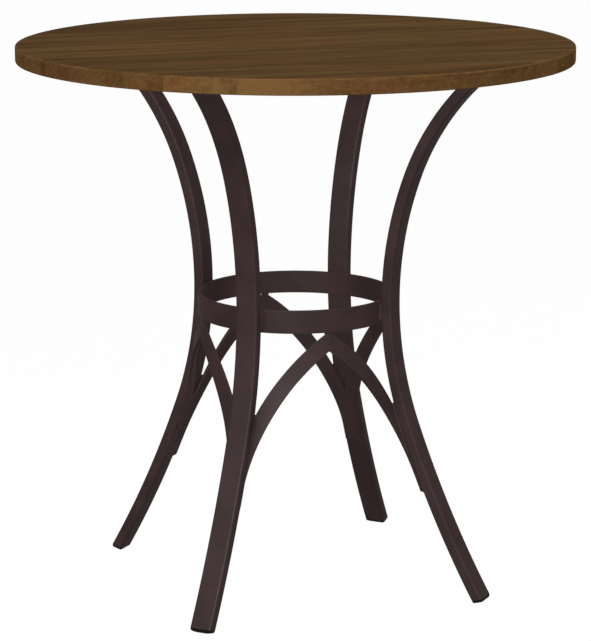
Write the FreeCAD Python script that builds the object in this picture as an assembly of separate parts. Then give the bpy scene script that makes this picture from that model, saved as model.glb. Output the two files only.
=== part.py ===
import FreeCAD, Part
import math
import os

# Round counter-height table. An edge-glued wood top stands on four legs of rectangular tube,
# bent in to a waist, with a hoop inside the waist and pointed arches of flat bar below it.
# Millimetres, +Z up. The origin is on the floor under the middle of the top, the staves run
# along X, and the legs stand on the diagonals. The front is -Y.

# Whole table
TABLE_HEIGHT = 910.0
TOP_DIAMETER = 914.4
TOP_THICKNESS = 25.4
TOP_EDGE_RADIUS = 2.0
TOP_EDGE_BEVELS = 3

# Width of each stave from front to back, as shares of the top's diameter
stave_width_shares = (62, 70, 68, 85, 84, 80, 82, 76, 80, 76, 79, 72)

# Leg tube and the places that its outer face passes through
TUBE_WIDTH = 38.0
TUBE_DEPTH = 19.0
TUBE_WALL = 1.5
TUBE_CORNER = 4.0
WAIST_HEIGHT = 494.0
WAIST_RADIUS = 183.0
LEG_TOP_RADIUS = 348.0
LEG_FOOT_RADIUS = 353.5

# Turn of the inner bend and of the whole curve, as shares of the lean of its chord
upper_turn_shares = (0.896, 2.214)
lower_turn_shares = (1.043, 1.578)

# Hoop at the waist
HOOP_DROP = 17.0
HOOP_HEIGHT = 38.0
HOOP_THICKNESS = 6.0
HOOP_EDGE_RADIUS = 1.0

# Arch straps
STRAP_WIDTH = 26.0
STRAP_THICKNESS = 4.8
STRAP_OFFSET = 1.6
STRAP_TAIL = 24.0
SPRING_HEIGHT = 205.0
STRAP_BITE = 1.0
STRAP_STATIONS = 12
TAIL_STATIONS = 3

# Mounting plates on the leg tops
PLATE_LENGTH = 84.0
PLATE_WIDTH = 84.0
PLATE_THICKNESS = 5.0
PLATE_CORNER = 8.0
SCREW_EDGE_DISTANCE = 12.0

# Wood screws
SCREW_DIAMETER = 4.5
SCREW_LENGTH = 25.0
SCREW_POINT_LENGTH = 5.0
SCREW_HEAD_DIAMETER = 9.0
SCREW_HEAD_HEIGHT = 3.2
SCREW_HEAD_EDGE_RADIUS = 1.2
SCREW_RECESS_DIAMETER = 3.6
SCREW_RECESS_DEPTH = 1.8
SCREW_RECESS_SIDES = 6

# Foot glides
GLIDE_THICKNESS = 4.0
GLIDE_EDGE_RADIUS = 2.6
GLIDE_INSET = 0.4
PLUG_LENGTH = 24.0

# Clearances
WELD_GAP = 0.3
STRAP_GAP = 0.5
PLATE_HOLE_CLEARANCE = 0.5
PILOT_HOLE_CLEARANCE = 0.2
PLUG_CLEARANCE = 0.3
CUT_OVERRUN = 5.0

# Legs by name, counter-clockwise as seen from above. Each has its end of the arch that follows it
# that way round, then its end of the arch before it.
legs = (
    ("front_left", "front_arch_left", "left_arch_front"),
    ("front_right", "right_arch_front", "front_arch_right"),
    ("back_right", "back_arch_right", "right_arch_back"),
    ("back_left", "left_arch_back", "back_arch_left"),
)
FIRST_LEG_DEGREES = 225
leg_directions = [FIRST_LEG_DEGREES + number * 360 / len(legs) for number in range(len(legs))]
HALF_SIDE_ANGLE = math.pi / len(legs)

UP = FreeCAD.Vector(0, 0, 1)
SIDEWAYS = FreeCAD.Vector(0, 1, 0)
ORIGIN = FreeCAD.Vector(0, 0, 0)

top_radius = TOP_DIAMETER / 2
top_underside = TABLE_HEIGHT - TOP_THICKNESS
plate_underside = top_underside - PLATE_THICKNESS
hoop_middle = WAIST_HEIGHT - HOOP_DROP
hoop_underside = hoop_middle - HOOP_HEIGHT / 2
hoop_top = hoop_middle + HOOP_HEIGHT / 2


class LegCurve:
    """Half of a leg's outer face, from the upright waist to one end, as two tangent arcs.

    side is 1 for the half above the waist and -1 for the half below it.
    """

    def __init__(self, side, end_radius, end_height, turn_shares):
        run = end_radius - WAIST_RADIUS
        rise = side * (end_height - WAIST_HEIGHT)
        lean = math.atan2(run, rise)
        self.side = side
        self.bend_turn = turn_shares[0] * lean
        self.full_turn = turn_shares[1] * lean
        first_run = 1 - math.cos(self.bend_turn)
        first_rise = math.sin(self.bend_turn)
        second_run = math.cos(self.bend_turn) - math.cos(self.full_turn)
        second_rise = math.sin(self.full_turn) - first_rise
        scale = first_run * second_rise - second_run * first_rise
        self.first_radius = (run * second_rise - second_run * rise) / scale
        self.second_radius = (first_run * rise - first_rise * run) / scale

    def centre(self, turn):
        """Radius of bend and centre of bend, as distance from the axis and height."""
        distance = WAIST_RADIUS + self.first_radius
        if turn <= self.bend_turn:
            return self.first_radius, distance, WAIST_HEIGHT
        change = self.first_radius - self.second_radius
        distance -= change * math.cos(self.bend_turn)
        height = WAIST_HEIGHT + self.side * change * math.sin(self.bend_turn)
        return self.second_radius, distance, height

    def point(self, turn, depth):
        """Point at a turn from upright, at a depth behind the outer face, with r along X."""
        radius, distance, height = self.centre(turn)
        reach = radius + depth
        x = distance - reach * math.cos(turn)
        z = height + self.side * reach * math.sin(turn)
        return FreeCAD.Vector(x, 0, z)

    def arc(self, first_turn, last_turn, depth):
        """Edge between two turns that lie on the same bend."""
        middle_turn = (first_turn + last_turn) / 2
        radius, distance, height = self.centre(middle_turn)
        reach = radius + depth
        points = []
        for turn in (first_turn, middle_turn, last_turn):
            x = distance - reach * math.cos(turn)
            z = height + self.side * reach * math.sin(turn)
            points.append(FreeCAD.Vector(x, 0, z))
        return Part.Arc(*points).toShape()

    def turn_at(self, height, depth):
        """Turn of the point at a height, at a depth behind the outer face."""
        junction = self.point(self.bend_turn, depth).z
        beyond = self.side * (height - junction) > 0
        probe = self.full_turn if beyond else self.bend_turn
        radius, distance, centre_height = self.centre(probe)
        return math.asin(self.side * (height - centre_height) / (radius + depth))


upper_curve = LegCurve(1, LEG_TOP_RADIUS, plate_underside, upper_turn_shares)
lower_curve = LegCurve(-1, LEG_FOOT_RADIUS, GLIDE_THICKNESS, lower_turn_shares)


def inner_face(height):
    """Radius of the legs' inner face at a height, and its lean from upright going up."""
    curve = upper_curve if height >= WAIST_HEIGHT else lower_curve
    turn = curve.turn_at(height, TUBE_DEPTH)
    return curve.point(turn, TUBE_DEPTH).x, curve.side * turn


hoop_radius = min(inner_face(height)[0] for height in (hoop_underside, hoop_middle, hoop_top)) - WELD_GAP


def box_between(low, high):
    """Box from one corner to the opposite one."""
    size = high - low
    return Part.makeBox(size.x, size.y, size.z, low)


def slab(bottom, top):
    """Level slab between two heights, wider than the table."""
    reach = top_radius + CUT_OVERRUN
    return box_between(FreeCAD.Vector(-reach, -reach, bottom), FreeCAD.Vector(reach, reach, top))


def turned(shape, degrees):
    """Copy of a shape turned about the table's axis."""
    copy = shape.copy()
    copy.rotate(ORIGIN, UP, degrees)
    return copy


def rounded_rectangle(width, depth, corner):
    """Closed wire about the origin, width along X and depth along Y, with round corners."""
    x = width / 2
    y = depth / 2
    flat_x = x - corner
    flat_y = y - corner
    bulge = corner * math.sqrt(0.5)
    edges = []
    for quarter, half_width, half_depth, run_x, run_y in (
        (0, x, y, flat_x, flat_y),
        (90, y, x, flat_y, flat_x),
        (180, x, y, flat_x, flat_y),
        (270, y, x, flat_y, flat_x),
    ):
        side_start = FreeCAD.Vector(half_width, -run_y, 0)
        side_end = FreeCAD.Vector(half_width, run_y, 0)
        corner_middle = FreeCAD.Vector(run_x + bulge, run_y + bulge, 0)
        corner_end = FreeCAD.Vector(run_x, half_depth, 0)
        side = Part.makeLine(side_start, side_end)
        round_corner = Part.Arc(side_end, corner_middle, corner_end).toShape()
        for edge in (side, round_corner):
            edge.rotate(ORIGIN, UP, quarter)
            edges.append(edge)
    return Part.Wire(edges)


def tube_section(inset):
    """The tube's outline, or a smaller one inside it, about the origin."""
    width = TUBE_WIDTH - 2 * inset
    depth = TUBE_DEPTH - 2 * inset
    return rounded_rectangle(width, depth, max(TUBE_CORNER - inset, TUBE_WALL / 2))


def place_across(wire, point, direction):
    """Copy of a flat wire set square to a direction in the leg's plane, its X turned sideways."""
    placed = wire.copy()
    turn = FreeCAD.Rotation(SIDEWAYS, direction.cross(SIDEWAYS), direction, "ZXY")
    placed.Placement = FreeCAD.Placement(point, turn)
    return placed


def foot_direction():
    """Direction up the leg's middle line at its foot."""
    turn = lower_curve.full_turn
    return FreeCAD.Vector(-math.sin(turn), 0, math.cos(turn))


def leg_path():
    """Middle line of the leg tube, run past both cut ends."""
    depth = TUBE_DEPTH / 2
    foot_turn = lower_curve.full_turn + TUBE_DEPTH / lower_curve.second_radius
    top_turn = upper_curve.full_turn + TUBE_DEPTH / upper_curve.second_radius
    edges = [
        lower_curve.arc(foot_turn, lower_curve.bend_turn, depth),
        lower_curve.arc(lower_curve.bend_turn, 0, depth),
        upper_curve.arc(0, upper_curve.bend_turn, depth),
        upper_curve.arc(upper_curve.bend_turn, top_turn, depth),
    ]
    return Part.Wire(edges)


def swept_tube(inset):
    """Solid swept along the leg's middle line with the tube's outline less an inset."""
    path = leg_path()
    start = path.Edges[0]
    point = start.valueAt(start.FirstParameter)
    direction = start.tangentAt(start.FirstParameter)
    section = place_across(tube_section(inset), point, direction)
    return path.makePipeShell([section], True, False)


def make_leg():
    """Hollow bent tube, cut level at the glide and at the plate."""
    tube = swept_tube(0).cut(swept_tube(TUBE_WALL))
    return tube.common(slab(GLIDE_THICKNESS, plate_underside))


def make_glide():
    """Plastic foot: a level pad with a rounded edge, on a plug that goes up into the tube."""
    depth = TUBE_DEPTH / 2
    turn = lower_curve.turn_at(GLIDE_THICKNESS, depth)
    middle = lower_curve.point(turn, depth)
    direction = foot_direction()
    pad_depth = TUBE_DEPTH / direction.z - 2 * GLIDE_INSET
    pad_width = TUBE_WIDTH - 2 * GLIDE_INSET
    outline = rounded_rectangle(pad_depth, pad_width, TUBE_CORNER)
    outline.translate(FreeCAD.Vector(middle.x, 0, 0))
    pad = Part.Face(outline).extrude(UP * GLIDE_THICKNESS)
    lower_edges = [edge for edge in pad.Edges if edge.BoundBox.ZMax < GLIDE_THICKNESS / 2]
    pad = pad.makeFillet(GLIDE_EDGE_RADIUS, lower_edges)
    plug_start = middle - direction * TUBE_DEPTH
    section = place_across(tube_section(TUBE_WALL + PLUG_CLEARANCE), plug_start, direction)
    plug = Part.Face(section).extrude(direction * (TUBE_DEPTH + PLUG_LENGTH))
    plug = plug.common(slab(GLIDE_THICKNESS, GLIDE_THICKNESS + PLUG_LENGTH))
    return pad.fuse(plug).removeSplitter()


def make_hoop():
    """Closed hoop of flat bar standing on edge, its long edges slightly rounded."""
    base = FreeCAD.Vector(0, 0, hoop_underside)
    hoop = Part.makeCylinder(hoop_radius, HOOP_HEIGHT, base)
    hoop = hoop.cut(Part.makeCylinder(hoop_radius - HOOP_THICKNESS, HOOP_HEIGHT, base))
    rims = [edge for edge in hoop.Edges if edge.Length > math.pi * hoop_radius]
    return hoop.makeFillet(HOOP_EDGE_RADIUS, rims)


def strap_route():
    """Stations of the strap's middle line: distance round the hoop from the leg, and height.

    It rises straight up the leg as far as the spring height, then follows a round arc that
    starts upright, whose upper edge meets the middle of the side at the hoop.
    """
    edge_run = hoop_radius * HALF_SIDE_ANGLE - STRAP_OFFSET + STRAP_WIDTH / 2
    edge_rise = hoop_underside + STRAP_BITE - SPRING_HEIGHT
    edge_radius = (edge_run ** 2 + edge_rise ** 2) / (2 * edge_run)
    arch_radius = edge_radius - STRAP_WIDTH / 2
    apex_turn = math.atan2(edge_rise, edge_radius - edge_run)
    last_turn = apex_turn + STRAP_WIDTH / arch_radius
    route = []
    for step in range(TAIL_STATIONS):
        height = SPRING_HEIGHT - STRAP_TAIL * (1 - step / TAIL_STATIONS)
        route.append((STRAP_OFFSET, height, 0))
    for step in range(STRAP_STATIONS + 1):
        turn = last_turn * step / STRAP_STATIONS
        along = STRAP_OFFSET + arch_radius * (1 - math.cos(turn))
        height = SPRING_HEIGHT + arch_radius * math.sin(turn)
        route.append((along, height, turn))
    return route


def strap_corners(along, height, turn):
    """The four corners of the strap's section where it lies against the shell of the legs."""
    face_radius, lean = inner_face(height)
    radius = face_radius - STRAP_GAP
    angle = along / hoop_radius
    radial = FreeCAD.Vector(math.cos(angle), math.sin(angle), 0)
    round_the_axis = FreeCAD.Vector(-math.sin(angle), math.cos(angle), 0)
    middle = radial * radius + UP * height
    up_the_face = radial * math.tan(lean) + UP
    swing = math.sin(turn) * radius / hoop_radius
    direction = (up_the_face * math.cos(turn) + round_the_axis * swing).normalize()
    outward = up_the_face.cross(round_the_axis) * -1
    outward = (outward - direction * outward.dot(direction)).normalize()
    across = direction.cross(outward)
    reach = across * (STRAP_WIDTH / 2)
    inner = outward * STRAP_THICKNESS
    return middle + reach, middle - reach, middle - reach - inner, middle + reach - inner


def curve_through(points):
    """Smooth edge through points."""
    curve = Part.BSplineCurve()
    curve.interpolate(points)
    return curve.toShape()


def make_strap():
    """Flat bar from the leg's inner face to the middle of the side, mitred at both meetings."""
    sections = [strap_corners(*station) for station in strap_route()]
    edges = [curve_through(list(points)) for points in zip(*sections)]
    faces = []
    for number, edge in enumerate(edges):
        faces.append(Part.makeRuledSurface(edge, edges[(number + 1) % len(edges)]))
    for corners in (sections[0], sections[-1]):
        outline = Part.makePolygon(list(corners) + [corners[0]])
        faces.append(Part.makeFilledFace(outline.Edges))
    shell = Part.makeShell(faces)
    shell.sewShape()
    bar = Part.makeSolid(shell)
    reach = top_radius
    leg_side = box_between(FreeCAD.Vector(0, 0, 0), FreeCAD.Vector(reach, reach, hoop_underside))
    middle_side = box_between(FreeCAD.Vector(0, -reach, 0), FreeCAD.Vector(reach, 0, hoop_underside))
    middle_side.rotate(ORIGIN, UP, math.degrees(HALF_SIDE_ANGLE))
    return bar.common(leg_side).common(middle_side)


def plate_middle():
    """Distance from the table's axis to the middle of the leg's cut top."""
    turn = upper_curve.turn_at(plate_underside, TUBE_DEPTH / 2)
    return upper_curve.point(turn, TUBE_DEPTH / 2).x


def screw_places():
    """Places of the screws of one plate, with r along X."""
    x = PLATE_LENGTH / 2 - SCREW_EDGE_DISTANCE
    y = PLATE_WIDTH / 2 - SCREW_EDGE_DISTANCE
    middle = plate_middle()
    places = []
    for side_x in (-1, 1):
        for side_y in (-1, 1):
            places.append(FreeCAD.Vector(middle + side_x * x, side_y * y, plate_underside))
    return places


def make_plate():
    """Flat plate with round corners and clear screw holes."""
    outline = rounded_rectangle(PLATE_LENGTH, PLATE_WIDTH, PLATE_CORNER)
    outline.translate(FreeCAD.Vector(plate_middle(), 0, plate_underside))
    plate = Part.Face(outline).extrude(UP * PLATE_THICKNESS)
    hole_radius = SCREW_DIAMETER / 2 + PLATE_HOLE_CLEARANCE
    for place in screw_places():
        plate = plate.cut(Part.makeCylinder(hole_radius, PLATE_THICKNESS, place))
    return plate


def make_screw(place):
    """Pan-head wood screw driven up through the plate, with a six-sided recess in its head."""
    radius = SCREW_DIAMETER / 2
    shank_length = SCREW_LENGTH - SCREW_POINT_LENGTH
    shank = Part.makeCylinder(radius, shank_length, place)
    point = Part.makeCone(radius, 0, SCREW_POINT_LENGTH, place + UP * shank_length)
    head = Part.makeCylinder(SCREW_HEAD_DIAMETER / 2, SCREW_HEAD_HEIGHT, place - UP * SCREW_HEAD_HEIGHT)
    lower_rim = [edge for edge in head.Edges if edge.BoundBox.ZMax < place.z - SCREW_HEAD_HEIGHT / 2]
    head = head.makeFillet(SCREW_HEAD_EDGE_RADIUS, lower_rim)
    corners = []
    for number in range(SCREW_RECESS_SIDES + 1):
        angle = 2 * math.pi * number / SCREW_RECESS_SIDES
        across = FreeCAD.Vector(math.cos(angle), math.sin(angle), 0) * (SCREW_RECESS_DIAMETER / 2)
        corners.append(place - UP * SCREW_HEAD_HEIGHT + across)
    recess = Part.Face(Part.makePolygon(corners)).extrude(UP * SCREW_RECESS_DEPTH)
    return head.cut(recess).fuse([shank, point]).removeSplitter()


def make_pilot_hole(place):
    """Hole that a screw leaves in the underside of the top."""
    radius = SCREW_DIAMETER / 2 + PILOT_HOLE_CLEARANCE
    depth = SCREW_LENGTH - PLATE_THICKNESS + PILOT_HOLE_CLEARANCE
    return Part.makeCylinder(radius, depth, FreeCAD.Vector(place.x, place.y, top_underside))


def make_disc():
    """Round top before it is parted into staves, its two edges eased with narrow bevels."""
    lower = []
    upper = []
    for step in range(TOP_EDGE_BEVELS + 1):
        turn = math.pi / 2 * step / TOP_EDGE_BEVELS
        x = top_radius - TOP_EDGE_RADIUS * (1 - math.sin(turn))
        rise = TOP_EDGE_RADIUS * (1 - math.cos(turn))
        lower.append(FreeCAD.Vector(x, 0, top_underside + rise))
        upper.append(FreeCAD.Vector(x, 0, TABLE_HEIGHT - rise))
    axis = [FreeCAD.Vector(0, 0, TABLE_HEIGHT), FreeCAD.Vector(0, 0, top_underside)]
    outline = Part.makePolygon(lower + upper[::-1] + axis + lower[:1])
    return Part.Face(outline).revolve(ORIGIN, UP, 360)


def make_staves():
    """Staves of the round top, from front to back, with the screws' pilot holes."""
    holes = []
    for degrees in leg_directions:
        holes += [turned(make_pilot_hole(place), degrees) for place in screw_places()]
    disc = make_disc().cut(holes)
    reach = top_radius + CUT_OVERRUN
    bottom = top_underside - CUT_OVERRUN
    top = TABLE_HEIGHT + CUT_OVERRUN
    seams = [-top_radius]
    for share in stave_width_shares:
        seams.append(seams[-1] + TOP_DIAMETER * share / sum(stave_width_shares))
    seams[0] = -reach
    seams[-1] = reach
    staves = []
    for front, back in zip(seams, seams[1:]):
        low = FreeCAD.Vector(-reach, front, bottom)
        high = FreeCAD.Vector(reach, back, top)
        staves.append(disc.common(box_between(low, high)))
    return staves


def one_solid(shape):
    """The single solid in a result of cuts."""
    solids = shape.Solids
    if len(solids) != 1:
        raise ValueError("expected one solid, found %d" % len(solids))
    return solids[0]


def build_parts():
    """All pieces of the table by name."""
    parts = {}
    for number, stave in enumerate(make_staves()):
        parts["top_stave_%02d" % (number + 1)] = one_solid(stave)
    parts["waist_hoop"] = one_solid(make_hoop())
    leg = one_solid(make_leg())
    plate = one_solid(make_plate())
    glide = one_solid(make_glide())
    strap = one_solid(make_strap())
    mirrored_strap = strap.mirror(ORIGIN, SIDEWAYS)
    screws = [one_solid(make_screw(place)) for place in screw_places()]
    all_screws = []
    for (name, next_arch, last_arch), degrees in zip(legs, leg_directions):
        parts["leg_" + name] = turned(leg, degrees)
        parts["leg_plate_" + name] = turned(plate, degrees)
        parts["glide_" + name] = turned(glide, degrees)
        parts[next_arch + "_strap"] = turned(strap, degrees)
        parts[last_arch + "_strap"] = turned(mirrored_strap, degrees)
        all_screws += [turned(screw, degrees) for screw in screws]
    parts["top_screws"] = Part.makeCompound(all_screws)
    return parts


os.makedirs("parts", exist_ok=True)
for part_name, part_shape in build_parts().items():
    part_shape.exportStep("parts/%s.step" % part_name)
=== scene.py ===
import math

import bpy
import numpy as np
from bpy.props import FloatProperty, FloatVectorProperty, PointerProperty
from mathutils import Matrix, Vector


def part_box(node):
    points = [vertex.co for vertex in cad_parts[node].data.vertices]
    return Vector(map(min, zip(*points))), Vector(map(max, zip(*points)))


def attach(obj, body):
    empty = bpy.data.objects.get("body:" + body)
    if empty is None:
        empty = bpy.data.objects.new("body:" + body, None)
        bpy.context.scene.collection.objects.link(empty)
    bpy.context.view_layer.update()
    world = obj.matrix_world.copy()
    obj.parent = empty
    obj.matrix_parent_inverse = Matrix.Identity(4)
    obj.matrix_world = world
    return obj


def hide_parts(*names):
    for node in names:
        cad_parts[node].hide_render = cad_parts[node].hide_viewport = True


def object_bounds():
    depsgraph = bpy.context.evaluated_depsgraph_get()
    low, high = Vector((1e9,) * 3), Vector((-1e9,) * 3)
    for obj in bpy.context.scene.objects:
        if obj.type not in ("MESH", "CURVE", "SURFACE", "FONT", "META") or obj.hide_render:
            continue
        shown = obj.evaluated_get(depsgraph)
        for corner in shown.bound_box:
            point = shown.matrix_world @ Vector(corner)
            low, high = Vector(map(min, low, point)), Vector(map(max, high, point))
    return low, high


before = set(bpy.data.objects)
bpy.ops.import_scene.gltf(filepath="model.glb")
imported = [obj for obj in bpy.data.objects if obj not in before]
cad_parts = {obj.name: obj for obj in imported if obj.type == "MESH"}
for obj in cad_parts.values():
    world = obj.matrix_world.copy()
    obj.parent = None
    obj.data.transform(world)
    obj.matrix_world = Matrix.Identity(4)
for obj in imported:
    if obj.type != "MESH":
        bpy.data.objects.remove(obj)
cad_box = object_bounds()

bl_info = {
    "name": "Counter height table",
    "version": (1, 0, 0),
    "blender": (4, 5, 0),
    "location": "View3D > Sidebar > Table",
    "description": "Finishes a round wood table on a bent steel base and sets its studio",
    "category": "Object",
}

# Metres. The staves run along X and are numbered from the front, and the legs stand on the diagonals.
MM = 0.001
SEED = 7
UP = np.array([0.0, 0.0, 1.0])
CORNERS = ("front_left", "front_right", "back_right", "back_left")
LEG_STRAPS = {
    "front_left": ("front_arch_left_strap", "left_arch_front_strap"),
    "front_right": ("right_arch_front_strap", "front_arch_right_strap"),
    "back_right": ("back_arch_right_strap", "right_arch_back_strap"),
    "back_left": ("left_arch_back_strap", "back_arch_left_strap"),
}
STAVES = sorted(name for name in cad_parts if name.startswith("top_stave_"))
STRAPS = sorted(name for pair in LEG_STRAPS.values() for name in pair)
table_low, table_high = cad_box
TABLE_HEIGHT = table_high.z
TOP_RADIUS = (table_high.x - table_low.x) / 2
TOP_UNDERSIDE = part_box(STAVES[0])[0].z

# Two faces that turn by more than this from one to the other meet in an edge.
SHARP_TURN = math.radians(40)

# Lightness of each stave from front to back, as shares of the wood's own colour.
STAVE_TONES = (0.94, 1.02, 0.88, 0.91, 0.86, 0.98, 1.09, 0.96, 1.02, 0.94, 0.90, 1.02)

# Darkness of the streak beside each seam from front to back, as shares of the darkest.
SEAM_TONES = (0.6, 0.1, 0.9, 0.3, 0.7, 0.2, 0.9, 0.3, 0.2, 0.8, 0.3)

# Paler figure on the rim by stave, counted from 0 at the front: start and end along X, and strength.
PALE_PATCHES = {0: ((-235 * MM, -160 * MM, 0.6),), 1: ((-330 * MM, -250 * MM, 0.15),)}

# Noise in the wood: scale along the stave, scale across it, detail, roughness and distortion.
WOOD_NOISE = {
    "patches": (3.2, 26.0, 2.0, 0.5, 0.3),
    "bands": (4.5, 62.0, 3.0, 0.6, 0.4),
    "streaks": (7.0, 170.0, 3.0, 0.6, 0.0),
    "fibres": (14.0, 720.0, 2.0, 0.6, 0.0),
    "pores": (60.0, 1600.0, 1.0, 0.5, 0.0),
    "mottle": (90.0, 150.0, 3.0, 0.65, 0.0),
    "sway": (1.3, 9.0, 2.0, 0.5, 0.0),
}

# Sizes of the fillet welds, where they aren't the settings' own: at the hoop, where a strap leaves
# the leg, across the straps' lower ends, at the plate and in the arches' points.
HOOP_WELD = 5.5 * MM
STRAP_WELD = 4 * MM
TAIL_WELD = 4.2 * MM
PLATE_WELD = 4 * MM
POINT_WELD = 5 * MM

# Places of the beads on a leg's inner face: distances sideways from its middle, to its own edges and
# to the straps', and start and end of the runs above the straps' lower ends.
LEG_EDGE = 16.8 * MM
STRAP_SIDE = 15.4 * MM
LEAVING_RUN = (60 * MM, 148 * MM)
TAIL_RUN = (4 * MM, 56 * MM)

# Form of a bead, as shares of its leg: depth of its ripples and of the hollow between its legs. Each
# ripple has so many rows of points.
RIPPLE_DEPTH = 0.14
BEAD_HOLLOW = 0.16
RIPPLE_ROWS = 5


def length_setting(name, description, default):
    """Property for a length in metres."""
    return FloatProperty(
        name=name, description=description, subtype="DISTANCE", unit="LENGTH", default=default)


def angle_setting(name, description, degrees):
    """Property for an angle, its default in degrees."""
    return FloatProperty(
        name=name, description=description, subtype="ANGLE", unit="ROTATION", default=math.radians(degrees))


def share_setting(name, description, default, most=1):
    """Property for a share from 0 to a most."""
    return FloatProperty(
        name=name, description=description, subtype="FACTOR", min=0, max=most, default=default)


def power_setting(name, description, default):
    """Property for a lamp's power in watts."""
    return FloatProperty(name=name, description=description, subtype="POWER", unit="POWER", default=default)


def colour_setting(name, description, default):
    """Property for a colour in linear light."""
    return FloatVectorProperty(
        name=name, description=description, subtype="COLOR", size=3, min=0, max=1, default=default)


class LegShape(bpy.types.PropertyGroup):
    """Sizes of the bent tube legs and of the glides in their feet."""

    tube_width: length_setting("Tube width", "Width of the tube across the leg", 38 * MM)
    tube_depth: length_setting("Tube depth", "Depth of the tube from outer face to inner one", 19 * MM)
    tube_wall: length_setting("Tube wall", "Thickness of the tube's wall", 1.5 * MM)
    tube_corner: length_setting("Tube corner", "Outer radius of the tube's corners", 4 * MM)
    waist_height: length_setting("Waist height", "Height at which the legs stand upright", 494 * MM)
    waist_radius: length_setting(
        "Waist radius", "Distance of the outer faces from the axis at the waist", 183 * MM)
    top_radius: length_setting(
        "Top radius", "Distance of the outer faces from the axis at the plates", 348 * MM)
    foot_radius: length_setting(
        "Foot radius", "Distance of the outer faces from the axis at the foot", 353.5 * MM)
    foot_height: length_setting("Foot height", "Height at which the foot radius is measured", 4 * MM)
    upper_bends: FloatVectorProperty(
        name="Upper bends", size=2, default=(0.896, 2.214),
        description="Turns at the ends of the two bends above the waist, as shares of the chord's")
    lower_bends: FloatVectorProperty(
        name="Lower bends", size=2, default=(1.043, 1.578),
        description="Turns at the ends of the two bends below the waist, as shares of the chord's")
    cut_squareness: share_setting(
        "Cut squareness", "Cut of the tube at the foot: 0 is level and 1 is square to the leg", 0.6)
    glide_inset: length_setting("Glide inset", "Step from the tube's outer face in to the glide", 0.3 * MM)
    glide_collar: length_setting(
        "Glide collar", "Height of the glide's straight collar below the tube", 1 * MM)
    glide_dome: length_setting("Glide dome", "Height of the glide's dome below its collar", 5.5 * MM)
    dome_fullness: FloatProperty(
        name="Dome fullness", description="Power of the dome's outline: 2 is an ellipse, and more is squarer",
        min=1.5, max=6, default=2.8)
    plug_length: length_setting("Plug length", "Length of the glide's plug inside the tube", 20 * MM)


class TableLooks(bpy.types.PropertyGroup):
    """Colours and sizes of the table's finishes."""

    wood_light: colour_setting(
        "Light wood", "Colour of the wood between its streaks", (0.108, 0.0585, 0.0212))
    wood_dark: colour_setting("Dark wood", "Colour of the wood's darkest streaks", (0.0395, 0.0197, 0.0061))
    wood_olive: colour_setting(
        "Olive tint", "Share of each colour left where the wood turns to olive", (0.94, 1.0, 0.95))
    wood_rosy: colour_setting(
        "Rosy tint", "Share of each colour left where the wood turns to rose", (1.0, 0.94, 0.93))
    ring_spacing: length_setting("Ring spacing", "Distance from one growth ring to the next", 9 * MM)
    seam_width: length_setting("Glue line", "Width of the dark line where two staves meet", 0.5 * MM)
    seam_shade_width: length_setting("Seam streak", "Reach of the dark streak beside a seam", 16 * MM)
    mottle: share_setting("Mottle", "Strength of the fine blotches in the top's face", 0.3, 2)
    rim_mottle: share_setting("Rim mottle", "Added strength of the blotches on the rim", 0.8, 2)
    rim_tint: FloatVectorProperty(
        name="Rim tint", description="Each colour of the rim as a share of the top's",
        size=3, min=0, max=2, default=(1.27, 1.19, 1.20))
    # Paler strip along the rim's edges: worn wood and a painted highlight on the arris.
    arris_wear_and_highlight: length_setting(
        "Arris wear", "Width of the paler worn strip along the rim's edges", 4 * MM)
    coat_colour: colour_setting("Powder coat", "Colour of the coated steel", (0.0293, 0.0166, 0.0163))
    # Paler colour for specks and rubbed edges; on the edges it is also a painted highlight along the corners.
    worn_coat_and_highlight: colour_setting(
        "Rubbed coat", "Colour of the coat where edges are rubbed", (0.075, 0.050, 0.046))
    coat_gloss: share_setting("Coat gloss", "Strength of the powder coat's clear film seen face on", 0.30)
    glide_colour: colour_setting("Glide", "Colour of the plastic feet", (0.0045, 0.0040, 0.0040))
    screw_colour: colour_setting("Screw", "Colour of the plated screws", (0.40, 0.37, 0.32))
    strap_edge: length_setting("Strap edge", "Radius of the flat bars' edges", 0.9 * MM)
    weld_size: length_setting("Weld size", "Leg of the fillet welds along the straps' edges", 3 * MM)
    weld_pitch: length_setting(
        "Weld ripple", "Distance from one ripple of a weld to the next", 2.4 * MM)


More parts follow.
